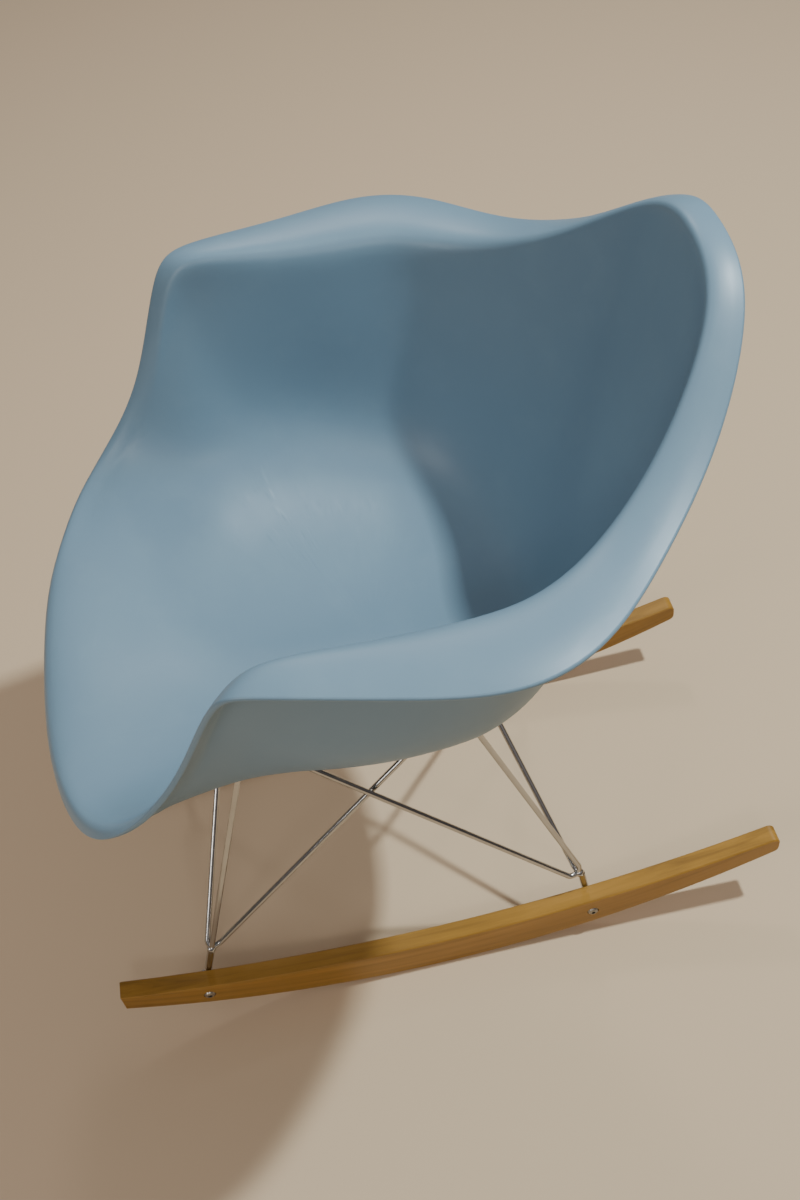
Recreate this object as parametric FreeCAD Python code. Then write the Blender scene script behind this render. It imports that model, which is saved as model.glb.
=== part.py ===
import FreeCAD, Part
import math
import os

# Moulded plastic rocking armchair on a welded wire base with two wooden runners.
# Millimetres. +Z is up, the sitter faces -Y, and the origin is on the floor, midway
# between the runners, under the lowest line of their soles.

V = FreeCAD.Vector

# Seat shell: overall sizes
SHELL_WIDTH = 624.0
SHELL_DEPTH = 635.0
SHELL_FRONT = -318.0
LIP_HEIGHT = 376.0
ARM_HEIGHT = 636.0
BACK_HEIGHT = 746.0
SHELL_THICKNESS = 5.0

# Seat shell: the dished seat inside
SEAT_LOW = 361.0
SEAT_LOW_Y = 60.0
SEAT_FRONT_RISE = 43.0
SEAT_BACK_RISE = 18.0
SEAT_SIDE_RISE = 40.0
SEAT_SIDE_RISE_FRONT = 98.0
SEAT_FOOT_WIDTH = 362.0
SEAT_FOOT_WIDTH_FRONT = 474.0
SEAT_FOOT_DEPTH = 312.0
SEAT_CENTRE_RADIUS = 25.0
WALL_BULGE = 7.5
CREST_RISE = 0.085

# Wooden runners
RUNNER_SPACING = 315.0
RUNNER_THICKNESS = 20.0
RUNNER_DEPTH = 47.0
RUNNER_SOLE_RADIUS = 940.0
RUNNER_TOP_RADIUS = 1410.0
RUNNER_TOP_SHIFT = -9.0
RUNNER_FRONT = -333.0
RUNNER_REAR = 371.0
RUNNER_REAR_ROUND = 7.0
RUNNER_EDGE_BEVEL = 1.2

# Wire base
STRUT_DIAMETER = 6.0
POST_DIAMETER = 8.0
POST_CLEARANCE = 0.3
FRONT_POST_FOOT_Y = -247.0
FRONT_POST_TOP_Y = -233.0
FRONT_POST_TOP = 98.0
REAR_POST_FOOT_Y = 168.0
REAR_POST_TOP_Y = 162.0
REAR_POST_TOP = 80.0
LUG_DIAMETER = 16.0
LUG_LENGTH = 6.0

# Seat mounts
MOUNT_SPACING_X = 200.0
FRONT_MOUNT_Y = -135.0
REAR_MOUNT_Y = 55.0
FRONT_PAD_HEIGHT = 37.0
REAR_PAD_HEIGHT = 37.0
PLATE_DIAMETER = 36.0
PLATE_THICKNESS = 3.0
PAD_BASE_DIAMETER = 40.0
PAD_TOP_DIAMETER = 46.0
INSERT_DIAMETER = 14.0
INSERT_HEIGHT = 8.0
STRUT_WELD_RADIUS = 12.5
STRUT_PASSING_GAP = 0.3

# Fasteners
SCREW_DIAMETER = 6.0
SCREW_HEAD_DIAMETER = 11.0
SCREW_HEAD_HEIGHT = 4.0
SCREW_SOCKET = 4.0
SCREW_LENGTH = 9.0
BOLT_DIAMETER = 6.0
BOLT_HEAD_DIAMETER = 12.0
BOLT_HEAD_HEIGHT = 4.0
BOLT_HEAD_SUNK = 2.0
HOLE_CLEARANCE = 0.25

# Stations along the edge of the shell, from the front centre round one side to the
# back centre. across: share of the half width. along: share of the depth. level: 0 at
# the lip, 1 at the arms, 2 at the top of the back. flange: width of the rolled edge.
# drop: how far the wall's top lies below the edge. turn: 0 where the edge turns down,
# 1 where it rolls outwards.
STATIONS = [
    (0.000, 0.000, 0.00, 48.0, -27.0, 0.00),
    (0.304, 0.011, 0.03, 47.0, -25.0, 0.00),
    (0.529, 0.040, 0.08, 44.0, -18.0, 0.10),
    (0.680, 0.088, 0.19, 38.0, -13.0, 0.35),
    (0.747, 0.157, 0.36, 32.0, -2.0, 0.70),
    (0.777, 0.230, 0.62, 22.0, 10.0, 0.90),
    (0.838, 0.290, 0.94, 22.0, 20.0, 1.00),
    (0.893, 0.352, 1.06, 40.0, 27.0, 1.00),
    (0.955, 0.480, 1.01, 60.0, 31.0, 1.00),
    (1.000, 0.614, 0.995, 80.0, 32.0, 1.00),
    (0.920, 0.722, 0.99, 72.0, 32.0, 1.00),
    (0.725, 0.819, 1.00, 54.0, 31.0, 1.00),
    (0.490, 0.920, 1.29, 43.0, 29.0, 1.00),
    (0.240, 0.990, 1.80, 32.0, 27.0, 1.00),
    (0.000, 1.000, 2.00, 28.0, 26.0, 1.00),
]


def lerp(a, b, t):
    """The point or number a share t of the way from a to b."""
    return a + (b - a) * t


def seat_height(y):
    """Height of the sitting surface on the centre line."""
    if y < SEAT_LOW_Y:
        share = (SEAT_LOW_Y - y) / (SEAT_LOW_Y - SHELL_FRONT)
        return SEAT_LOW + SEAT_FRONT_RISE * share ** 1.3
    share = (y - SEAT_LOW_Y) / (SEAT_FOOT_DEPTH / 2 - SEAT_LOW_Y)
    return SEAT_LOW + SEAT_BACK_RISE * share ** 2


def rim_point(station):
    """The edge of the shell at a station."""
    across, along, level = station[:3]
    x = across * SHELL_WIDTH / 2
    y = SHELL_FRONT + along * SHELL_DEPTH
    if level <= 1:
        return V(x, y, lerp(LIP_HEIGHT, ARM_HEIGHT, level))
    return V(x, y, lerp(ARM_HEIGHT, BACK_HEIGHT, level - 1))


def seat_foot(angle):
    """Where the seat turns up into the wall, in the direction of an angle from the front."""
    side = abs(math.sin(angle)) ** 0.75
    front = math.copysign(abs(math.cos(angle)) ** 0.85, -math.cos(angle))
    forward = (1 - front) / 2
    width = lerp(SEAT_FOOT_WIDTH, SEAT_FOOT_WIDTH_FRONT, forward)
    rise = lerp(SEAT_SIDE_RISE, SEAT_SIDE_RISE_FRONT, forward)
    foot = V(side * width / 2, front * SEAT_FOOT_DEPTH / 2, 0)
    foot.z = seat_height(foot.y) + rise * side ** 2
    return foot


def section_points(station):
    """Control points of the inner face, from the seat's centre out to the edge."""
    flange, drop, turn = station[3:]
    rim = rim_point(station)
    angle = math.atan2(rim.x / SHELL_WIDTH, -rim.y / SHELL_DEPTH)
    foot = seat_foot(angle)
    step = 2 * SEAT_CENTRE_RADIUS
    slope = (seat_height(step / 2) - seat_height(-step / 2)) / step
    reach = V(math.sin(angle), -math.cos(angle), 0) * SEAT_CENTRE_RADIUS
    centre = V(reach.x, reach.y, seat_height(0) + slope * reach.y)
    near = V(2 * reach.x, 2 * reach.y, seat_height(0) + 2 * slope * reach.y)
    seat = lerp(near, foot, 0.62)
    seat.z = lerp(seat_height(seat.y), foot.z, 0.25)
    out = V(rim.x - foot.x, rim.y - foot.y, 0).normalize()
    top = rim - out * flange
    top.z = rim.z - drop
    wall = max(0.0, min(1.0, (top.z - foot.z) / 100.0))
    low = lerp(foot, top, 0.28) + out * WALL_BULGE * wall
    high = lerp(foot, top, 0.66) + out * WALL_BULGE * 0.3 * wall
    rise = top + out * lerp(0.55, 0.04, turn) * flange
    rise.z = lerp(top.z + 1, rim.z + 1, turn)
    crest = rim - out * lerp(0.08, 0.58, turn) * flange
    crest.z = rim.z + lerp(20, CREST_RISE * flange, turn)
    brow = rim - out * lerp(0.02, 0.20, turn) * flange
    brow.z = rim.z + lerp(9, CREST_RISE * flange * 0.8, turn)
    return [centre, near, seat, foot, low, high, top, rise, crest, brow, rim]


def inner_net():
    """The inner face's net: one row of points per ring, all the way round."""
    half = [section_points(station) for station in STATIONS]
    mirrored = [[V(-p.x, p.y, p.z) for p in points] for points in half[-2:0:-1]]
    return list(zip(*(half + mirrored)))


def outer_net(net):
    """The outer face's net: the inner one moved out by the thickness along its normals."""
    rows = []
    count = len(net[0])
    for j, row in enumerate(net):
        before = net[max(j - 1, 0)]
        after = net[min(j + 1, len(net) - 1)]
        moved = []
        for i, point in enumerate(row):
            along = row[(i + 1) % count] - row[i - 1]
            across = after[i] - before[i]
            normal = along.cross(across).normalize()
            moved.append(point + normal * SHELL_THICKNESS)
        rows.append(moved)
    return rows


def ring_curve(points):
    """The closed smooth curve through a ring of points."""
    poles = list(points)
    count = len(points)
    for sweep in range(50):
        poles = [(points[i] * 6 - poles[i - 1] - poles[(i + 1) % count]) / 4 for i in range(count)]
    knots = [float(k) for k in range(count + 1)]
    curve = Part.BSplineCurve()
    curve.buildFromPolesMultsKnots(poles, [1] * len(knots), knots, True, 3)
    return curve


def skin(rows):
    """A smooth face whose rings follow the given rows of points."""
    rings = [ring_curve(row) for row in rows]
    poles = [list(column) for column in zip(*(ring.getPoles() for ring in rings))]
    mults = rings[0].getMultiplicities()
    knots = rings[0].getKnots()
    spans = len(rows) - 3
    across_mults = [4] + [1] * (spans - 1) + [4]
    across_knots = [float(k) for k in range(spans + 1)]
    surface = Part.BSplineSurface()
    surface.buildFromPolesMultsKnots(
        poles, mults, across_mults, knots, across_knots, True, False, 3, 3)
    return Part.Face(surface)


def cap(row):
    """The flat disc that closes the centre of the seat."""
    return Part.Face(Part.Wire(ring_curve(row).toShape()))


def seat_shell():
    """The moulded seat, back and arms, one wall with a rounded edge."""
    inner = inner_net()
    outer = outer_net(inner)
    edge = []
    for j in (0, 1):
        source = (inner, outer)[j]
        ends = zip(source[-1], source[-2])
        edge.append([p + (p - q).normalize() * SHELL_THICKNESS * 0.6 for p, q in ends])
    lip = skin([inner[-1], edge[0], edge[1], outer[-1]])
    shell = Part.makeShell([skin(inner), skin(outer), lip, cap(inner[0]), cap(outer[0])])
    shell.sewShape(0.001)
    solid = Part.makeSolid(shell)
    if solid.Volume < 0:
        solid.reverse()
    return solid


def sole_height(y):
    """Height of the runner's underside."""
    return RUNNER_SOLE_RADIUS - math.sqrt(RUNNER_SOLE_RADIUS ** 2 - y ** 2)


def top_height(y):
    """Height of the runner's upper side."""
    y = y - RUNNER_TOP_SHIFT
    return RUNNER_DEPTH + RUNNER_TOP_RADIUS - math.sqrt(RUNNER_TOP_RADIUS ** 2 - y ** 2)


def middle_height(y):
    """Height of the runner's middle line, where the bolts go through."""
    return (sole_height(y) + top_height(y)) / 2


def arc(height, y_start, y_end, x):
    """An arc of the runner's side view in the plane x."""
    ends = [V(x, y, height(y)) for y in (y_start, (y_start + y_end) / 2, y_end)]
    return Part.Arc(*ends).toShape()


def bolt_places():
    """Where the runners are bolted to the posts: (y, z) at the front and the rear."""
    return [(y, middle_height(y)) for y in (FRONT_POST_FOOT_Y, REAR_POST_FOOT_Y)]


def runner(side):
    """One bent wooden runner with a soft edge and a hole for each bolt."""
    x = side * RUNNER_SPACING / 2
    sole = arc(sole_height, RUNNER_FRONT, RUNNER_REAR, x)
    top = arc(top_height, RUNNER_FRONT, RUNNER_REAR, x)
    sides = [sole, top]
    for y in (RUNNER_FRONT, RUNNER_REAR):
        sides.append(Part.makeLine(V(x, y, sole_height(y)), V(x, y, top_height(y))))
    outline = Part.Wire(Part.__sortEdges__(sides))
    blank = Part.Face(outline).extrude(V(side * RUNNER_THICKNESS, 0, 0))
    corners = []
    for edge in blank.Edges:
        middle = edge.CenterOfMass
        if abs(middle.y - RUNNER_REAR) < 0.1 and abs(edge.Length - RUNNER_THICKNESS) < 0.1:
            corners.append(edge)
    blank = blank.makeFillet(RUNNER_REAR_ROUND, corners)
    rims = []
    for edge in blank.Edges:
        if edge.BoundBox.XLength < 0.1:
            rims.append(edge)
    blank = blank.makeChamfer(RUNNER_EDGE_BEVEL, rims)
    for y, z in bolt_places():
        shank = BOLT_DIAMETER / 2 + HOLE_CLEARANCE
        head = BOLT_HEAD_DIAMETER / 2 + HOLE_CLEARANCE
        start = V(x - side * RUNNER_THICKNESS, y, z)
        blank = blank.cut(Part.makeCylinder(shank, 3 * RUNNER_THICKNESS, start, V(side, 0, 0)))
        face = V(x + side * (RUNNER_THICKNESS - BOLT_HEAD_SUNK), y, z)
        blank = blank.cut(Part.makeCylinder(head, RUNNER_THICKNESS, face, V(side, 0, 0)))
    return blank


def socket(size, depth, place, direction):
    """The six-sided key socket of a screw head."""
    turn = FreeCAD.Rotation(V(0, 0, 1), direction)
    corners = []
    for k in range(7):
        angle = math.radians(60 * k)
        corner = V(math.cos(angle), math.sin(angle), 0) * size / math.sqrt(3)
        corners.append(place + turn.multVec(corner))
    return Part.Face(Part.makePolygon(corners)).extrude(direction * depth)


def button_screw(place, direction, head_diameter, head_height, diameter, length):
    """A domed screw: place is under the head, direction points out of the head."""
    head = head_diameter / 2
    shank = diameter / 2
    outline = [(0, -length), (shank, -length), (shank, 0), (head, 0), (head, head_height * 0.35),
               (head * 0.82, head_height * 0.75), (head * 0.5, head_height), (0, head_height), (0, -length)]
    profile = Part.Face(Part.makePolygon([V(radius, 0, level) for radius, level in outline]))
    screw = profile.revolve(V(0, 0, 0), V(0, 0, 1), 360)
    screw.Placement = FreeCAD.Placement(place, FreeCAD.Rotation(V(0, 0, 1), direction))
    bottom = place + direction * head_height * 0.4
    return screw.cut(socket(SCREW_SOCKET, head_height, bottom, direction))


def runner_bolt(side, y, z):
    """The bolt from the runner's outer face into the post's lug."""
    seat = V(side * (RUNNER_SPACING / 2 + RUNNER_THICKNESS - BOLT_HEAD_SUNK), y, z)
    length = RUNNER_THICKNESS - BOLT_HEAD_SUNK + LUG_LENGTH
    outwards = V(side, 0, 0)
    return button_screw(seat, outwards, BOLT_HEAD_DIAMETER, BOLT_HEAD_HEIGHT, BOLT_DIAMETER, length)


def post_x(side):
    """Where a post stands, just clear of the runner's inner face."""
    return side * (RUNNER_SPACING / 2 - POST_CLEARANCE - POST_DIAMETER / 2)


def post_top(side, end):
    """The point at a post's top where the struts meet."""
    if end == "front":
        return V(post_x(side), FRONT_POST_TOP_Y, FRONT_POST_TOP)
    return V(post_x(side), REAR_POST_TOP_Y, REAR_POST_TOP)


def post(side, end):
    """A short post with a bevelled top and a tapped lug against the runner."""
    y, z = bolt_places()[0 if end == "front" else 1]
    foot = V(post_x(side), y, z)
    head = post_top(side, end)
    line = head - foot
    body = Part.makeCylinder(POST_DIAMETER / 2, line.Length, foot, line)
    line.normalize()
    tip = Part.makeCone(POST_DIAMETER / 2, POST_DIAMETER / 4, POST_DIAMETER / 3, head, line)
    body = body.fuse(tip)
    inner = V(side * RUNNER_SPACING / 2, y, z)
    lug = Part.makeCylinder(LUG_DIAMETER / 2, LUG_LENGTH, inner, V(-side, 0, 0))
    body = body.fuse(lug).removeSplitter()
    return body.cut(Part.makeCylinder(BOLT_DIAMETER / 2, LUG_LENGTH * 2, inner, V(-side, 0, 0)))


def mount_places(shell):
    """Centre of each mount plate's upper face, a cushion's height below the seat."""
    places = {}
    rows = {"front": (FRONT_MOUNT_Y, FRONT_PAD_HEIGHT), "rear": (REAR_MOUNT_Y, REAR_PAD_HEIGHT)}
    for side in (1, -1):
        for end, (y, height) in rows.items():
            x = side * MOUNT_SPACING_X / 2
            upright = Part.makeLine(V(x, y, 0), V(x, y, ARM_HEIGHT)).common(shell)
            underside = min(vertex.Z for vertex in upright.Vertexes)
            places[side, end] = V(x, y, underside - height)
    return places


def mount_plate(place):
    """The round steel plate that the struts are welded to."""
    plate = Part.makeCylinder(PLATE_DIAMETER / 2, PLATE_THICKNESS, place - V(0, 0, PLATE_THICKNESS))
    lower = [e for e in plate.Edges if e.BoundBox.ZMax < place.z - PLATE_THICKNESS / 2]
    plate = plate.makeChamfer(PLATE_THICKNESS * 0.2, lower)
    hole = SCREW_DIAMETER / 2 + HOLE_CLEARANCE
    return plate.cut(Part.makeCylinder(hole, 3 * PLATE_THICKNESS, place - V(0, 0, 2 * PLATE_THICKNESS)))


def mount_pad(place, shell):
    """The rubber cushion between a plate and the underside of the seat."""
    height = 2 * PAD_TOP_DIAMETER
    pad = Part.makeCone(PAD_BASE_DIAMETER / 2, PAD_TOP_DIAMETER / 2, height, place)
    pieces = pad.cut(shell).Solids
    pad = min(pieces, key=lambda piece: piece.CenterOfMass.z)
    return pad.cut(Part.makeCylinder(INSERT_DIAMETER / 2, INSERT_HEIGHT, place))


def mount_insert(place):
    """The threaded steel insert inside a cushion."""
    body = Part.makeCylinder(INSERT_DIAMETER / 2, INSERT_HEIGHT, place)
    return body.cut(Part.makeCylinder(SCREW_DIAMETER / 2, INSERT_HEIGHT, place))


def mount_screw(place):
    """The screw up through a plate into its insert."""
    seat = place - V(0, 0, PLATE_THICKNESS)
    down = V(0, 0, -1)
    return button_screw(seat, down, SCREW_HEAD_DIAMETER, SCREW_HEAD_HEIGHT, SCREW_DIAMETER, SCREW_LENGTH)


def strut(start, place, shift):
    """A straight wire strut from a post's top to the underside of a mount plate.

    The shift moves it sideways, so that it passes beside the strut that it crosses.
    """
    flat = V(start.x - place.x, start.y - place.y, 0).normalize()
    start = start + shift
    end = place - V(0, 0, PLATE_THICKNESS) + flat * STRUT_WELD_RADIUS + shift
    line = end - start
    line.normalize()
    rod = Part.makeCylinder(STRUT_DIAMETER / 2, (end - start).Length + STRUT_DIAMETER, start, line)
    above = Part.makeBox(4 * PLATE_DIAMETER, 4 * PLATE_DIAMETER, PLATE_DIAMETER,
                         place + V(-2 * PLATE_DIAMETER, -2 * PLATE_DIAMETER, -PLATE_THICKNESS))
    return rod.cut(above)


def struts(places):
    """The twelve struts, each cut back where it meets the post and the earlier ones."""
    made = {}
    pass_by = (STRUT_DIAMETER + STRUT_PASSING_GAP) / 2
    for side, side_name in ((1, "left"), (-1, "right")):
        for end, other in (("front", "rear"), ("rear", "front")):
            start = post_top(side, end)
            outboard = side if end == "rear" else -side
            goals = {
                "upright": (places[side, end], V(0, 0, 0)),
                "cross": (places[-side, end], V(0, side * pass_by, 0)),
                "diagonal": (places[side, other], V(outboard * pass_by, 0, 0)),
            }
            for kind, (place, shift) in goals.items():
                rod = strut(start, place, shift).cut(post(side, end))
                for done in made.values():
                    if done.BoundBox.intersect(rod.BoundBox):
                        rod = rod.cut(done)
                rod = max(rod.Solids, key=lambda piece: piece.Volume)
                made[f"strut_{end}_{side_name}_{kind}"] = rod
    return made


def build():
    """Every piece by name."""
    parts = {}
    shell = seat_shell()
    places = mount_places(shell)
    parts["seat_shell"] = shell
    for side, side_name in ((1, "left"), (-1, "right")):
        parts[f"runner_{side_name}"] = runner(side)
        for index, end in enumerate(("front", "rear")):
            tag = f"{end}_{side_name}"
            y, z = bolt_places()[index]
            place = places[side, end]
            parts[f"post_{tag}"] = post(side, end)
            parts[f"runner_bolt_{tag}"] = runner_bolt(side, y, z)
            parts[f"mount_plate_{tag}"] = mount_plate(place)
            parts[f"mount_pad_{tag}"] = mount_pad(place, shell)
            parts[f"mount_insert_{tag}"] = mount_insert(place)
            parts[f"mount_screw_{tag}"] = mount_screw(place)
    parts.update(struts(places))
    return parts


os.makedirs("parts", exist_ok=True)
for name, shape in build().items():
    shape.exportStep(f"parts/{name}.step")
    print(name, len(shape.Solids), shape.isValid(), round(shape.Volume))
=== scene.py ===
"""Looks of a moulded plastic rocking armchair on a chromed wire base with two wooden runners."""

import logging
import math
from dataclasses import dataclass, field
from enum import Enum

import bmesh
import bpy
from mathutils import Matrix, Vector
from mathutils.geometry import intersect_point_line


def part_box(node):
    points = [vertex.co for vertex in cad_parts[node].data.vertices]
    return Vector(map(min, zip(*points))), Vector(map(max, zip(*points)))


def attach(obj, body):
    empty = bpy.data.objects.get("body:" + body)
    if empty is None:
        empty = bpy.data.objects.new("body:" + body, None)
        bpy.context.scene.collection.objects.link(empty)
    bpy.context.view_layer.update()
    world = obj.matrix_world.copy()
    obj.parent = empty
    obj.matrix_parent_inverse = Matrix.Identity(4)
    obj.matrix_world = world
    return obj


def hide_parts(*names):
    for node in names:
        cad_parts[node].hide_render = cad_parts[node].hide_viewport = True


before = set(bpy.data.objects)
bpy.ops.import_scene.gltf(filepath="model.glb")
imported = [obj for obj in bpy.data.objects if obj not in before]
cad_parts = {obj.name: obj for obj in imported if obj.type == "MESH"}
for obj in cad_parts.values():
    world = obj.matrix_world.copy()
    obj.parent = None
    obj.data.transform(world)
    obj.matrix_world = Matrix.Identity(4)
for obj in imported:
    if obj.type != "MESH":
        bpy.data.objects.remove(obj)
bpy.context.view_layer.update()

log = logging.getLogger("rocking_chair")

BODY = "root"
SIDES = ("left", "right")
ENDS = ("front", "rear")
STRUTS = ("upright", "cross", "diagonal")
STRUT_RADIUS = 0.003
MERGE_DISTANCE = 1e-6

# Numbers of the sockets whose names repeat: a colour Mix node's, and a Math node's.
MIX_FACTOR, MIX_FROM, MIX_TO = 0, 6, 7
MIX_RESULT = 2
FIRST, SECOND = 0, 1


def linear(hex_colour: str) -> tuple[float, float, float, float]:
    """Turns an sRGB hex colour into the linear colour that Blender's sockets take.

    Args:
        hex_colour: Six hex digits, with or without a leading mark.

    Returns:
        Red, green, blue and an alpha of 1, each from 0 to 1.
    """
    digits = hex_colour.lstrip("#")
    channels = []
    for start in (0, 2, 4):
        share = int(digits[start:start + 2], 16) / 255
        channels.append(share / 12.92 if share <= 0.04045 else ((share + 0.055) / 1.055) ** 2.4)
    return (channels[0], channels[1], channels[2], 1.0)


def add_node(owner: bpy.types.Material | bpy.types.World, kind: str,
             settings: dict[str, object] | None = None,
             inputs: dict[str | int, object] | None = None) -> bpy.types.Node:
    """Adds one node to a material or a world, sets it up and links what feeds it.

    Args:
        owner: The material or world whose node tree gets the node.
        kind: The node's type name.
        settings: Values for the node's own properties.
        inputs: Values or output sockets for the node's inputs, by name or number.

    Returns:
        The new node.
    """
    tree = owner.node_tree
    node = tree.nodes.new(kind)
    for name, value in (settings or {}).items():
        setattr(node, name, value)
    for name, value in (inputs or {}).items():
        if isinstance(value, bpy.types.NodeSocket):
            tree.links.new(value, node.inputs[name])
        else:
            node.inputs[name].default_value = value
    return node


def blank_material(name: str) -> bpy.types.Material:
    """Makes a material with an empty node tree.

    Args:
        name: The material's name.

    Returns:
        The material.
    """
    material = bpy.data.materials.new(name)
    material.use_nodes = True
    material.node_tree.nodes.clear()
    return material


def per_metre(size_mm: float) -> float:
    """Scale of a texture whose features have a real size.

    Args:
        size_mm: The features' width in millimetres.

    Returns:
        The texture's Scale value in a scene measured in metres.
    """
    return 1000.0 / size_mm


@dataclass(frozen=True)
class MouldedPolypropylene:
    """Coloured polypropylene from a spark-eroded mould."""

    # The mould's eroded skin leaves the plastic satin, with a soft and broad shine.
    name: str = "polypropylene_injection_moulded_satin"
    colour: str = "#7692a4"
    flow: str = "#708c9f"
    scuff: str = "#7f99a9"
    roughness: float = 0.41
    rubbed_gloss: float = 0.04
    dull_gloss: float = 0.05
    ior: float = 1.49
    flow_mm: float = 160.0
    scuff_mm: float = 45.0
    scuff_share: float = 0.3
    grain_mm: float = 1.4
    grain_depth: float = 0.0002

    def build(self) -> bpy.types.Material:
        """Builds the material.

        Returns:
            The material.
        """
        material = blank_material(self.name)
        place = add_node(material, "ShaderNodeTexCoord").outputs["Object"]
        # The pigment is very slightly uneven where the melt flowed into the mould.
        flow = add_node(material, "ShaderNodeTexNoise", {}, {
            "Vector": place, "Scale": per_metre(self.flow_mm), "Detail": 2.0, "Distortion": 0.8})
        tint = add_node(material, "ShaderNodeMix", {"data_type": "RGBA"}, {
            MIX_FACTOR: flow.outputs["Fac"], MIX_FROM: linear(self.colour),
            MIX_TO: linear(self.flow)})
        # Sitting rubs the satin a little paler in patches.
        scuff = add_node(material, "ShaderNodeTexNoise", {}, {
            "Vector": place, "Scale": per_metre(self.scuff_mm), "Detail": 5.0, "Roughness": 0.6})
        rubbed = add_node(material, "ShaderNodeMapRange", {}, {
            "Value": scuff.outputs["Fac"], "From Min": 0.5, "From Max": 0.8,
            "To Max": self.scuff_share})
        worn = add_node(material, "ShaderNodeMix", {"data_type": "RGBA"}, {
            MIX_FACTOR: rubbed.outputs["Result"], MIX_FROM: tint.outputs[MIX_RESULT],
            MIX_TO: linear(self.scuff)})
        gloss = add_node(material, "ShaderNodeMapRange", {}, {
            "Value": scuff.outputs["Fac"], "To Min": self.roughness - self.rubbed_gloss,
            "To Max": self.roughness + self.dull_gloss})
        # The mould's eroded grain, drawn as coarse as it has to be to show.
        grain = add_node(material, "ShaderNodeTexNoise", {}, {
            "Vector": place, "Scale": per_metre(self.grain_mm), "Detail": 2.0, "Roughness": 0.6})
        bump = add_node(material, "ShaderNodeBump", {}, {
            "Height": grain.outputs["Fac"], "Strength": 0.05, "Distance": self.grain_depth})
        shader = add_node(material, "ShaderNodeBsdfPrincipled", {}, {
            "Base Color": worn.outputs[MIX_RESULT], "Roughness": gloss.outputs["Result"],
            "IOR": self.ior, "Normal": bump.outputs["Normal"]})
        add_node(material, "ShaderNodeOutputMaterial", {}, {"Surface": shader.outputs["BSDF"]})
        return material


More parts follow.
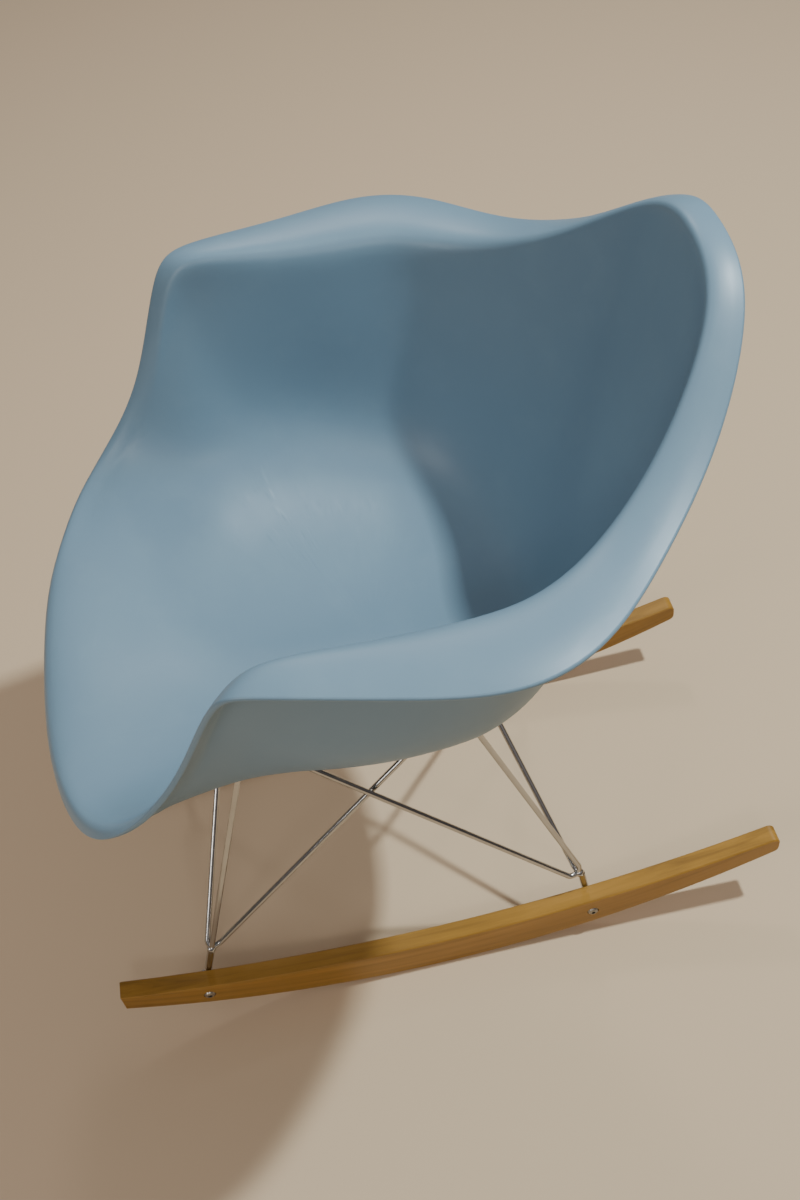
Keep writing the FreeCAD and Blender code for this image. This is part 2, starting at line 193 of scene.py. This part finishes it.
@dataclass(frozen=True)
class BentMaple:
    """Steam-bent maple under a warm satin lacquer, with grain that follows the bend."""

    # The lacquer warms the pale wood to honey brown, and shines softly over its fine grain.
    name: str = "maple_steam_bent_lacquered"
    light: str = "#ab7d30"
    middle: str = "#9b7026"
    dark: str = "#825c1c"
    end_tone: str = "#694717"
    roughness: float = 0.42
    dense_gloss: float = 0.05
    open_gloss: float = 0.06
    ior: float = 1.5
    bend_radius: float = 0.94
    ring_mm: float = 5.0
    pore_mm: float = 0.8
    pore_share: float = 0.28
    pore_depth: float = 0.0002
    end_share: float = 0.6
    stretch: float = 28.0

    def bent_place(self, material: bpy.types.Material) -> bpy.types.NodeSocket:
        """Coordinates that run along the bend, squeezed along the grain.

        Args:
            material: The material being built.

        Returns:
            The socket that gives them.
        """
        place = add_node(material, "ShaderNodeTexCoord").outputs["Object"]
        parts = add_node(material, "ShaderNodeSeparateXYZ", {}, {"Vector": place})
        drop = add_node(material, "ShaderNodeMath", {"operation": "SUBTRACT"}, {
            FIRST: self.bend_radius, SECOND: parts.outputs["Z"]})
        spoke = add_node(material, "ShaderNodeCombineXYZ", {}, {
            "Y": parts.outputs["Y"], "Z": drop.outputs["Value"]})
        radius = add_node(material, "ShaderNodeVectorMath", {"operation": "LENGTH"}, {
            FIRST: spoke.outputs["Vector"]})
        angle = add_node(material, "ShaderNodeMath", {"operation": "ARCTAN2"}, {
            FIRST: parts.outputs["Y"], SECOND: drop.outputs["Value"]})
        along = add_node(material, "ShaderNodeMath", {"operation": "MULTIPLY"}, {
            FIRST: angle.outputs["Value"], SECOND: self.bend_radius / self.stretch})
        bent = add_node(material, "ShaderNodeCombineXYZ", {}, {
            "X": parts.outputs["X"], "Y": along.outputs["Value"], "Z": radius.outputs["Value"]})
        return bent.outputs["Vector"]

    def build(self) -> bpy.types.Material:
        """Builds the material.

        Returns:
            The material.
        """
        material = blank_material(self.name)
        bent = self.bent_place(material)
        # One noise feature spans a pale and a dark ring.
        rings = add_node(material, "ShaderNodeTexNoise", {}, {
            "Vector": bent, "Scale": per_metre(self.ring_mm * 2), "Detail": 5.0,
            "Roughness": 0.6, "Distortion": 0.5})
        bands = add_node(material, "ShaderNodeValToRGB", {}, {"Fac": rings.outputs["Fac"]})
        ramp = bands.color_ramp
        ramp.elements[0].position = 0.30
        ramp.elements[0].color = linear(self.dark)
        ramp.elements[1].position = 0.72
        ramp.elements[1].color = linear(self.light)
        ramp.elements.new(0.50).color = linear(self.middle)
        # Pores, drawn as coarse as they have to be to show.
        pores = add_node(material, "ShaderNodeTexNoise", {}, {
            "Vector": bent, "Scale": per_metre(self.pore_mm), "Detail": 2.0, "Roughness": 0.7})
        fleck = add_node(material, "ShaderNodeMapRange", {}, {
            "Value": pores.outputs["Fac"], "From Min": 0.58, "From Max": 0.74,
            "To Max": self.pore_share})
        flecked = add_node(material, "ShaderNodeMix", {"data_type": "RGBA"}, {
            MIX_FACTOR: fleck.outputs["Result"], MIX_FROM: bands.outputs["Color"],
            MIX_TO: linear(self.dark)})
        # End grain drinks more lacquer and turns darker: the faces that look along the runner.
        normal = add_node(material, "ShaderNodeNewGeometry").outputs["Normal"]
        facing = add_node(material, "ShaderNodeSeparateXYZ", {}, {"Vector": normal})
        endwise = add_node(material, "ShaderNodeMath", {"operation": "ABSOLUTE"}, {
            FIRST: facing.outputs["Y"]})
        end_grain = add_node(material, "ShaderNodeMapRange", {}, {
            "Value": endwise.outputs["Value"], "From Min": 0.75, "From Max": 0.98,
            "To Max": self.end_share})
        tone = add_node(material, "ShaderNodeMix", {"data_type": "RGBA"}, {
            MIX_FACTOR: end_grain.outputs["Result"], MIX_FROM: flecked.outputs[MIX_RESULT],
            MIX_TO: linear(self.end_tone)})
        bump = add_node(material, "ShaderNodeBump", {}, {
            "Height": pores.outputs["Fac"], "Strength": 0.08, "Distance": self.pore_depth})
        gloss = add_node(material, "ShaderNodeMapRange", {}, {
            "Value": rings.outputs["Fac"], "To Min": self.roughness + self.open_gloss,
            "To Max": self.roughness - self.dense_gloss})
        shader = add_node(material, "ShaderNodeBsdfPrincipled", {}, {
            "Base Color": tone.outputs[MIX_RESULT], "Roughness": gloss.outputs["Result"],
            "IOR": self.ior, "Normal": bump.outputs["Normal"]})
        add_node(material, "ShaderNodeOutputMaterial", {}, {"Surface": shader.outputs["BSDF"]})
        return material


@dataclass(frozen=True)
class PlatedSteel:
    """Steel with a plated coat: chromium on wire, or zinc on screws, by the sizes given."""

    # Chromium mirrors the room almost cleanly, and zinc spreads its shine and looks greyer.
    name: str
    colour: str
    tarnish: str
    roughness: float
    spread: float
    patch_mm: float
    mark_mm: float
    mark_depth: float = 0.0001

    def build(self) -> bpy.types.Material:
        """Builds the material.

        Returns:
            The material.
        """
        material = blank_material(self.name)
        place = add_node(material, "ShaderNodeTexCoord").outputs["Object"]
        patch = add_node(material, "ShaderNodeTexNoise", {}, {
            "Vector": place, "Scale": per_metre(self.patch_mm), "Detail": 3.0, "Roughness": 0.55})
        tint = add_node(material, "ShaderNodeMix", {"data_type": "RGBA"}, {
            MIX_FACTOR: patch.outputs["Fac"], MIX_FROM: linear(self.colour),
            MIX_TO: linear(self.tarnish)})
        gloss = add_node(material, "ShaderNodeMapRange", {}, {
            "Value": patch.outputs["Fac"], "From Min": 0.3, "From Max": 0.7,
            "To Min": self.roughness, "To Max": self.roughness + self.spread})
        # Fine marks left by drawing or heading, drawn as coarse as they have to be to show.
        marks = add_node(material, "ShaderNodeTexNoise", {}, {
            "Vector": place, "Scale": per_metre(self.mark_mm), "Detail": 2.0, "Roughness": 0.5})
        bump = add_node(material, "ShaderNodeBump", {}, {
            "Height": marks.outputs["Fac"], "Strength": 0.06, "Distance": self.mark_depth})
        shader = add_node(material, "ShaderNodeBsdfPrincipled", {}, {
            "Base Color": tint.outputs[MIX_RESULT], "Metallic": 1.0,
            "Roughness": gloss.outputs["Result"], "Normal": bump.outputs["Normal"]})
        add_node(material, "ShaderNodeOutputMaterial", {}, {"Surface": shader.outputs["BSDF"]})
        return material


@dataclass(frozen=True)
class MouldedRubber:
    """Black rubber from a plain mould."""

    # The rubber is dull and nearly black, with a faint grey bloom like dust.
    name: str = "rubber_compression_moulded_black"
    colour: str = "#1b1b1c"
    bloom: str = "#3a3a3b"
    roughness: float = 0.7
    gloss_swing: float = 0.12
    ior: float = 1.52
    bloom_mm: float = 7.0
    grain_mm: float = 0.6
    grain_depth: float = 0.0002

    def build(self) -> bpy.types.Material:
        """Builds the material.

        Returns:
            The material.
        """
        material = blank_material(self.name)
        place = add_node(material, "ShaderNodeTexCoord").outputs["Object"]
        bloom = add_node(material, "ShaderNodeTexNoise", {}, {
            "Vector": place, "Scale": per_metre(self.bloom_mm), "Detail": 4.0, "Roughness": 0.6})
        dusty = add_node(material, "ShaderNodeMapRange", {}, {
            "Value": bloom.outputs["Fac"], "From Min": 0.45, "From Max": 0.75})
        tint = add_node(material, "ShaderNodeMix", {"data_type": "RGBA"}, {
            MIX_FACTOR: dusty.outputs["Result"], MIX_FROM: linear(self.colour),
            MIX_TO: linear(self.bloom)})
        gloss = add_node(material, "ShaderNodeMapRange", {}, {
            "Value": bloom.outputs["Fac"], "To Min": self.roughness - self.gloss_swing,
            "To Max": self.roughness + self.gloss_swing})
        grain = add_node(material, "ShaderNodeTexNoise", {}, {
            "Vector": place, "Scale": per_metre(self.grain_mm), "Detail": 2.0})
        bump = add_node(material, "ShaderNodeBump", {}, {
            "Height": grain.outputs["Fac"], "Strength": 0.15, "Distance": self.grain_depth})
        shader = add_node(material, "ShaderNodeBsdfPrincipled", {}, {
            "Base Color": tint.outputs[MIX_RESULT], "Roughness": gloss.outputs["Result"],
            "IOR": self.ior, "Normal": bump.outputs["Normal"]})
        add_node(material, "ShaderNodeOutputMaterial", {}, {"Surface": shader.outputs["BSDF"]})
        return material


@dataclass(frozen=True)
class PaintedFloor:
    """A plain pale studio floor: matt and warm."""

    name: str = "floor_painted_pale"
    colour: str = "#d2b999"
    roughness: float = 0.8

    def build(self) -> bpy.types.Material:
        """Builds the material.

        Returns:
            The material.
        """
        material = blank_material(self.name)
        shader = add_node(material, "ShaderNodeBsdfPrincipled", {}, {
            "Base Color": linear(self.colour), "Roughness": self.roughness})
        add_node(material, "ShaderNodeOutputMaterial", {}, {"Surface": shader.outputs["BSDF"]})
        return material


class Finish(Enum):
    """The finishes that the chair is made in, one for each material slot of the frame."""

    SHELL = "shell_plastic"
    WOOD = "runner_wood"
    CHROME = "chromed_wire"
    ZINC = "zinc_bolt"
    RUBBER = "pad_rubber"


RECIPES = {
    Finish.SHELL: MouldedPolypropylene(),
    Finish.WOOD: BentMaple(),
    Finish.CHROME: PlatedSteel(
        name="steel_drawn_wire_chromium_plated", colour="#c4c3c1", tarnish="#b0ada8",
        roughness=0.10, spread=0.10, patch_mm=18.0, mark_mm=1.5),
    Finish.ZINC: PlatedSteel(
        name="steel_cold_headed_zinc_plated", colour="#b0aba2", tarnish="#8d887f",
        roughness=0.26, spread=0.18, patch_mm=3.0, mark_mm=0.8),
    Finish.RUBBER: MouldedRubber(),
}


@dataclass
class Paintbox:
    """Every finish, built once and handed to the pieces that wear it."""

    built: dict[Finish, bpy.types.Material] = field(default_factory=dict)

    def get(self, finish: Finish) -> bpy.types.Material:
        """Gives a finish's material, building it the first time.

        Args:
            finish: The finish wanted.

        Returns:
            The material.
        """
        if finish not in self.built:
            self.built[finish] = RECIPES[finish].build()
        return self.built[finish]

    def dress_node(self, name: str, finish: Finish) -> bpy.types.Object:
        """Puts a finish on a piece of the frame.

        Args:
            name: The piece's name in the frame.
            finish: The finish it wears.

        Returns:
            The piece's object.
        """
        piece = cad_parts[name]
        material = self.get(finish)
        if not piece.data.materials:
            piece.data.materials.append(material)
        for slot in piece.material_slots:
            slot.material = material
        return piece

    def hang_piece(self, name: str, shape: bmesh.types.BMesh,
                   finish: Finish) -> bpy.types.Object:
        """Turns a finished mesh into a piece of the chair that moves with its body.

        Args:
            name: The new piece's name.
            shape: Its mesh, which is freed.
            finish: The finish it wears.

        Returns:
            The new piece's object.
        """
        bmesh.ops.recalc_face_normals(shape, faces=shape.faces)
        for face in shape.faces:
            face.smooth = True
        mesh = bpy.data.meshes.new(name)
        shape.to_mesh(mesh)
        shape.free()
        mesh.materials.append(self.get(finish))
        piece = bpy.data.objects.new(name, mesh)
        bpy.context.scene.collection.objects.link(piece)
        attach(piece, BODY)
        return piece


@dataclass(frozen=True)
class Axis:
    """The centre line of a long straight piece, from its lower end to its upper one."""

    low: Vector
    high: Vector

    @property
    def direction(self) -> Vector:
        """The unit vector from the lower end to the upper one."""
        return (self.high - self.low).normalized()

    def turn(self) -> Matrix:
        """The turn that stands a mesh made along +Z on this line."""
        return self.direction.to_track_quat("Z", "Y").to_matrix().to_4x4()

    def at_height(self, height: float) -> Vector:
        """The line's point at a height.

        Args:
            height: The height above the floor.

        Returns:
            The point.
        """
        share = (height - self.low.z) / (self.high.z - self.low.z)
        return self.low.lerp(self.high, share)


def centre_line(piece: bpy.types.Object) -> Axis:
    """Finds the centre line of a round bar from its own mesh.

    Args:
        piece: The bar's object.

    Returns:
        Its centre line, between the middles of its lowest and highest fifths.
    """
    points = [vertex.co.copy() for vertex in piece.data.vertices]
    heights = [point.z for point in points]
    bottom, top = min(heights), max(heights)
    fifth = (top - bottom) / 5
    ends = []
    for lowest, highest in ((bottom, bottom + fifth), (top - fifth, top)):
        near = [point for point in points if lowest <= point.z <= highest]
        ends.append(sum(near, Vector()) / len(near))
    return Axis(ends[0], ends[1])


def bent_rod(points: list[Vector], radius: float) -> bmesh.types.BMesh:
    """Bends a round rod along a smooth line, closed at both ends.

    Args:
        points: The line's control points; it starts at the first and ends at the last.
        radius: The rod's radius.

    Returns:
        The rod's mesh.
    """
    curve = bpy.data.curves.new("rod", "CURVE")
    curve.dimensions = "3D"
    curve.bevel_depth = radius
    curve.bevel_resolution = 4
    curve.use_fill_caps = True
    spline = curve.splines.new("NURBS")
    spline.points.add(len(points) - 1)
    for control, point in zip(spline.points, points):
        control.co = (*point, 1.0)
    spline.order_u = 3
    spline.use_endpoint_u = True
    holder = bpy.data.objects.new("rod", curve)
    mesh = bpy.data.meshes.new_from_object(holder)
    shape = bmesh.new()
    shape.from_mesh(mesh)
    bmesh.ops.remove_doubles(shape, verts=shape.verts, dist=MERGE_DISTANCE)
    bpy.data.meshes.remove(mesh)
    bpy.data.objects.remove(holder)
    bpy.data.curves.remove(curve)
    return shape


@dataclass(frozen=True)
class Lamp:
    """One square soft lamp: where it hangs, its side, its power in watts and its colour."""

    name: str
    place: tuple[float, float, float]
    size: float
    power: float
    colour: tuple[float, float, float]


@dataclass
class Studio:
    """The floor, the room's soft light, the lamps and the camera at the photograph's place."""

    floor_size: float = 8.0
    azimuth: float = math.radians(85.461)
    elevation: float = math.radians(48.270)
    roll: float = math.radians(-8.996)
    distance: float = 1.35
    target: Vector = field(default_factory=lambda: Vector((-0.059, 0.034, 0.328)))
    focal_pixels: float = 1322.0
    frame_pixels: float = 1200.0
    sensor: float = 36.0
    room_tint: tuple[float, float, float, float] = (1.0, 0.91, 0.90, 1.0)
    ceiling_light: float = 0.38
    ceiling_slope: float = 0.8
    wall_light: float = 0.08
    wall_slope: float = 0.15
    backdrop_light: float = 0.55
    lamp_target: Vector = field(default_factory=lambda: Vector((0.0, 0.0, 0.4)))
    lamps: tuple[Lamp, ...] = (
        Lamp("behind", (0.0, 1.65, 3.2), 0.14, 106.0, (0.88, 0.98, 1.0)),
        Lamp("near_side", (2.1, -0.18, 2.4), 0.3, 7.0, (1.0, 0.97, 0.95)),
        Lamp("front_fill", (1.4, -1.8, 1.5), 0.9, 13.0, (1.0, 0.97, 0.94)),
        Lamp("far_side", (-2.1, 0.2, 2.4), 0.3, 9.0, (1.0, 0.96, 0.93)))

    def lay_floor(self) -> bpy.types.Object:
        """Lays the floor, which isn't part of the chair.

        Returns:
            The floor's object.
        """
        mesh = bpy.data.meshes.new("floor")
        shape = bmesh.new()
        bmesh.ops.create_grid(shape, x_segments=1, y_segments=1, size=self.floor_size / 2)
        shape.to_mesh(mesh)
        shape.free()
        floor = bpy.data.objects.new("floor", mesh)
        bpy.context.scene.collection.objects.link(floor)
        mesh.materials.append(PaintedFloor().build())
        return floor

    def light_room(self) -> bpy.types.World:
        """Gives the room its soft light, brighter overhead than at its walls.

        Returns:
            The world that gives the light.
        """
        world = bpy.data.worlds.new("studio")
        world.use_nodes = True
        direction = add_node(world, "ShaderNodeTexCoord").outputs["Generated"]
        height = add_node(world, "ShaderNodeSeparateXYZ", {}, {"Vector": direction}).outputs["Z"]
        glow = add_node(world, "ShaderNodeMapRange", {"interpolation_type": "SMOOTHSTEP"}, {
            "Value": height, "From Min": self.wall_slope, "From Max": self.ceiling_slope,
            "To Min": self.wall_light, "To Max": self.ceiling_light})
        # The backdrop shows paler than the light that it gives, as a lit paper roll does.
        seen = add_node(world, "ShaderNodeLightPath").outputs["Is Camera Ray"]
        strength = add_node(world, "ShaderNodeMapRange", {}, {
            "Value": seen, "To Min": glow.outputs["Result"], "To Max": self.backdrop_light})
        background = world.node_tree.nodes["Background"]
        background.inputs["Color"].default_value = self.room_tint
        world.node_tree.links.new(strength.outputs["Result"], background.inputs["Strength"])
        bpy.context.scene.world = world
        return world

    def hang_lamp(self, lamp: Lamp) -> bpy.types.Object:
        """Hangs one lamp, turned to the seat.

        Args:
            lamp: The lamp to hang.

        Returns:
            The lamp's object.
        """
        data = bpy.data.lights.new(lamp.name, "AREA")
        data.shape = "SQUARE"
        data.size = lamp.size
        data.energy = lamp.power
        data.color = lamp.colour
        light = bpy.data.objects.new(lamp.name, data)
        place = Vector(lamp.place)
        light.location = place
        light.rotation_euler = (self.lamp_target - place).to_track_quat("-Z", "Y").to_euler()
        bpy.context.scene.collection.objects.link(light)
        return light

    def place_camera(self) -> bpy.types.Object:
        """Sets the camera where the photograph was taken from.

        Returns:
            The camera's object.
        """
        level = math.cos(self.elevation)
        back = Vector((math.sin(self.azimuth) * level, -math.cos(self.azimuth) * level,
                       math.sin(self.elevation)))
        level_right = (-back).cross(Vector((0.0, 0.0, 1.0))).normalized()
        level_up = level_right.cross(-back)
        right = level_right * math.cos(self.roll) + level_up * math.sin(self.roll)
        up = level_up * math.cos(self.roll) - level_right * math.sin(self.roll)
        data = bpy.data.cameras.new("camera")
        data.sensor_fit = "VERTICAL"
        data.sensor_height = self.sensor
        data.lens = self.focal_pixels / self.frame_pixels * self.sensor
        camera = bpy.data.objects.new("camera", data)
        turn = Matrix((right, up, back)).transposed().to_4x4()
        camera.matrix_world = Matrix.Translation(self.target + back * self.distance) @ turn
        bpy.context.scene.collection.objects.link(camera)
        bpy.context.scene.camera = camera
        return camera

    def build(self) -> list[bpy.types.Object]:
        """Lays the floor, lights the room and places the camera.

        Returns:
            The floor, the lamps and the camera.
        """
        floor = self.lay_floor()
        self.light_room()
        lights = [self.hang_lamp(lamp) for lamp in self.lamps]
        return [floor, *lights, self.place_camera()]


@dataclass
class SeatShell:
    """The moulded seat, back and arms."""

    paints: Paintbox

    def dress(self) -> list[bpy.types.Object]:
        """Finishes the shell.

        Returns:
            The shell's object, in a list.
        """
        return [self.paints.dress_node("seat_shell", Finish.SHELL)]


@dataclass
class Runners:
    """The two wooden runners and the bolts that hold the posts to them."""

    paints: Paintbox

    def dress(self) -> list[bpy.types.Object]:
        """Finishes the runners and their bolts.

        Returns:
            Their objects.
        """
        pieces = []
        for side in SIDES:
            pieces.append(self.paints.dress_node(f"runner_{side}", Finish.WOOD))
            for end in ENDS:
                pieces.append(self.paints.dress_node(f"runner_bolt_{end}_{side}", Finish.ZINC))
        return pieces


@dataclass
class WireBase:
    """The posts and the bent wires that stand on them, with the welds that join them."""

    paints: Paintbox
    wire_radius: float = STRUT_RADIUS
    bend_length: float = 0.009
    # How far the foot of a crossing wire stands back on the left, and forward on the right.
    passing_shift: float = 0.0011
    knot_radius: float = 0.0050
    knot_length: float = 0.0090
    knot_rise: float = 0.6
    # The lump's ripples: their height, how many go round, their slant, and how many go up.
    knot_ripple: float = 0.07
    knot_ripples_round: int = 5
    knot_slant: float = 3.0
    knot_ripples_up: float = 4.0
    # From a post's top to the point where its wires come together.
    joints: dict[str, Vector] = field(default_factory=lambda: {
        "front": Vector((0.0, 0.001, 0.004)), "rear": Vector((0.0, -0.003, 0.001))})
    # A wire turns aside by this much at its foot, and to the other side in x on the right.
    bends: dict[tuple[str, str], Vector] = field(default_factory=lambda: {
        ("front", "upright"): Vector((-0.001, 0.003, 0.009)),
        ("front", "cross"): Vector((-0.004, -0.006, 0.008)),
        ("front", "diagonal"): Vector((0.0, 0.009, 0.002)),
        ("rear", "upright"): Vector((-0.001, -0.001, 0.009)),
        ("rear", "cross"): Vector((-0.004, -0.009, 0.003)),
        ("rear", "diagonal"): Vector((0.0, -0.011, -0.001))})

    def post_top(self, end: str, side: str) -> Vector:
        """Finds the middle of a post's top.

        Args:
            end: "front" or "rear".
            side: "left" or "right".

        Returns:
            The point.
        """
        return centre_line(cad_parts[f"post_{end}_{side}"]).high

    def bend_at(self, end: str, side: str, kind: str) -> Vector:
        """Gives the way that a wire turns aside at its foot.

        Args:
            end: "front" or "rear".
            side: "left" or "right".
            kind: One of STRUTS.

        Returns:
            The step from the straight wire's foot to the bend.
        """
        bend = self.bends[end, kind].copy()
        if side == "right":
            bend.x = -bend.x
        if kind == "cross":
            bend.y += self.passing_shift if side == "left" else -self.passing_shift
        return bend

    def wire(self, end: str, side: str, kind: str) -> bpy.types.Object:
        """Bends one wire: straight down from its plate, then round into the joint on the post.

        Args:
            end: "front" or "rear".
            side: "left" or "right".
            kind: One of STRUTS.

        Returns:
            The wire's object.
        """
        strut = f"strut_{end}_{side}_{kind}"
        line = centre_line(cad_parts[strut])
        top = self.post_top(end, side)
        foot = intersect_point_line(top, line.low, line.high)[0]
        corner = foot + self.bend_at(end, side, kind)
        rise = (line.high - corner).normalized()
        beyond = line.high + rise * 2 * self.wire_radius
        shape = bent_rod([beyond, corner + rise * self.bend_length, corner,
                          top + self.joints[end]], self.wire_radius)
        # The end that stands past the plate's lower face is cut off level with it.
        whole = shape.verts[:] + shape.edges[:] + shape.faces[:]
        cut = bmesh.ops.bisect_plane(shape, geom=whole, plane_co=line.high,
                                     plane_no=(0, 0, 1), clear_outer=True)
        rim = [part for part in cut["geom_cut"] if isinstance(part, bmesh.types.BMEdge)]
        bmesh.ops.edgeloop_fill(shape, edges=rim)
        piece = self.paints.hang_piece(f"wire_{end}_{side}_{kind}", shape, Finish.CHROME)
        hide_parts(strut)
        return piece

    def knot(self, end: str, side: str) -> bpy.types.Object:
        """Builds the lump of weld where three wires meet the top of a post.

        Args:
            end: "front" or "rear".
            side: "left" or "right".

        Returns:
            The weld's object.
        """
        shape = bmesh.new()
        bmesh.ops.create_icosphere(shape, subdivisions=3, radius=1.0)
        for vertex in shape.verts:
            around = math.atan2(vertex.co.y, vertex.co.x)
            wave = math.sin(self.knot_ripples_round * around + self.knot_slant * vertex.co.z)
            ripple = 1 + self.knot_ripple * wave * math.cos(self.knot_ripples_up * vertex.co.z)
            vertex.co.x *= self.knot_radius * ripple
            vertex.co.y *= self.knot_radius * ripple
            vertex.co.z *= self.knot_length / 2
        middle = self.post_top(end, side) + self.joints[end] * self.knot_rise
        bmesh.ops.transform(shape, matrix=Matrix.Translation(middle), verts=shape.verts)
        return self.paints.hang_piece(f"weld_post_{end}_{side}", shape, Finish.CHROME)

    def build(self) -> list[bpy.types.Object]:
        """Builds the wires and the welds.

        Returns:
            Their objects.
        """
        pieces = []
        for side in SIDES:
            for end in ENDS:
                pieces.append(self.knot(end, side))
                for kind in STRUTS:
                    pieces.append(self.wire(end, side, kind))
        return pieces

    def dress(self) -> list[bpy.types.Object]:
        """Finishes the posts.

        Returns:
            Their objects.
        """
        return [self.paints.dress_node(f"post_{end}_{side}", Finish.CHROME)
                for side in SIDES for end in ENDS]


@dataclass
class SeatMounts:
    """The four plates, rubber cushions, inserts and screws under the seat, and the welds."""

    paints: Paintbox
    strut_radius: float = STRUT_RADIUS
    bead_width: float = 0.0022
    bead_height: float = 0.0026
    # The bead's section: its root lies inside the strut's skin, its crown spreads on the plate,
    # and below its waist it runs out to a toe on the strut.
    root_share: float = 0.9
    crown_level: float = 0.3
    waist_share: float = 0.35
    waist_swell: float = 1.08
    waist_level: float = -0.35
    toe_share: float = 1.05
    toe_level: float = -1.0
    # Its ripples: their height, how many go round, and where they start outside the strut.
    bead_ripple: float = 0.12
    bead_ripples: int = 9
    ripple_start: float = 1.02
    bead_steps: int = 36

    def bead(self, strut: str) -> bpy.types.Object:
        """Builds the weld round the top of a strut, against its plate.

        Args:
            strut: The strut's name in the frame.

        Returns:
            The weld's object.
        """
        line = centre_line(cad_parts[strut])
        plate_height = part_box(strut)[1][2]
        root = self.strut_radius * self.root_share
        crown = self.strut_radius + self.bead_width
        waist = (self.strut_radius + self.bead_width * self.waist_share) * self.waist_swell
        toe = self.strut_radius * self.toe_share
        outline = [(root, self.crown_level), (crown, self.crown_level),
                   (waist, self.waist_level), (toe, self.toe_level), (root, self.toe_level)]
        shape = bmesh.new()
        ring = [shape.verts.new((radius, 0, level * self.bead_height))
                for radius, level in outline]
        edges = [shape.edges.new((ring[i], ring[i - 1])) for i in range(len(ring))]
        bmesh.ops.spin(shape, geom=ring + edges, cent=(0, 0, 0), axis=(0, 0, 1),
                       angle=2 * math.pi, steps=self.bead_steps, use_merge=True)
        bmesh.ops.remove_doubles(shape, verts=shape.verts, dist=MERGE_DISTANCE)
        for vertex in shape.verts:
            radius = math.hypot(vertex.co.x, vertex.co.y)
            if radius > self.strut_radius * self.ripple_start:
                wave = math.sin(self.bead_ripples * math.atan2(vertex.co.y, vertex.co.x))
                swell = 1 + self.bead_ripple * wave * (radius / crown)
                vertex.co.x *= swell
                vertex.co.y *= swell
        place = Matrix.Translation(line.at_height(plate_height)) @ line.turn()
        bmesh.ops.transform(shape, matrix=place, verts=shape.verts)
        return self.paints.hang_piece(strut.replace("strut", "weld"), shape, Finish.CHROME)

    def build(self) -> list[bpy.types.Object]:
        """Builds the welds.

        Returns:
            Their objects.
        """
        return [self.bead(f"strut_{end}_{side}_{kind}")
                for side in SIDES for end in ENDS for kind in STRUTS]

    def dress(self) -> list[bpy.types.Object]:
        """Finishes the plates, cushions, inserts and screws.

        Returns:
            Their objects.
        """
        wears = {"mount_plate": Finish.CHROME, "mount_pad": Finish.RUBBER,
                 "mount_insert": Finish.ZINC, "mount_screw": Finish.ZINC}
        pieces = []
        for side in SIDES:
            for end in ENDS:
                for name, finish in wears.items():
                    pieces.append(self.paints.dress_node(f"{name}_{end}_{side}", finish))
        return pieces


def main() -> None:
    """Builds and dresses the chair piece by piece, then sets the studio round it."""
    logging.basicConfig(level=logging.INFO, format="%(message)s")
    paints = Paintbox()
    wire_base = WireBase(paints)
    seat_mounts = SeatMounts(paints)
    for assembly in (SeatShell(paints), Runners(paints), wire_base, seat_mounts):
        for piece in assembly.dress():
            log.info("dressed %s", piece.name)
    for assembly in (wire_base, seat_mounts):
        for piece in assembly.build():
            log.info("built %s", piece.name)
    for thing in Studio().build():
        log.info("set up %s", thing.name)


if __name__ == "__main__":
    main()
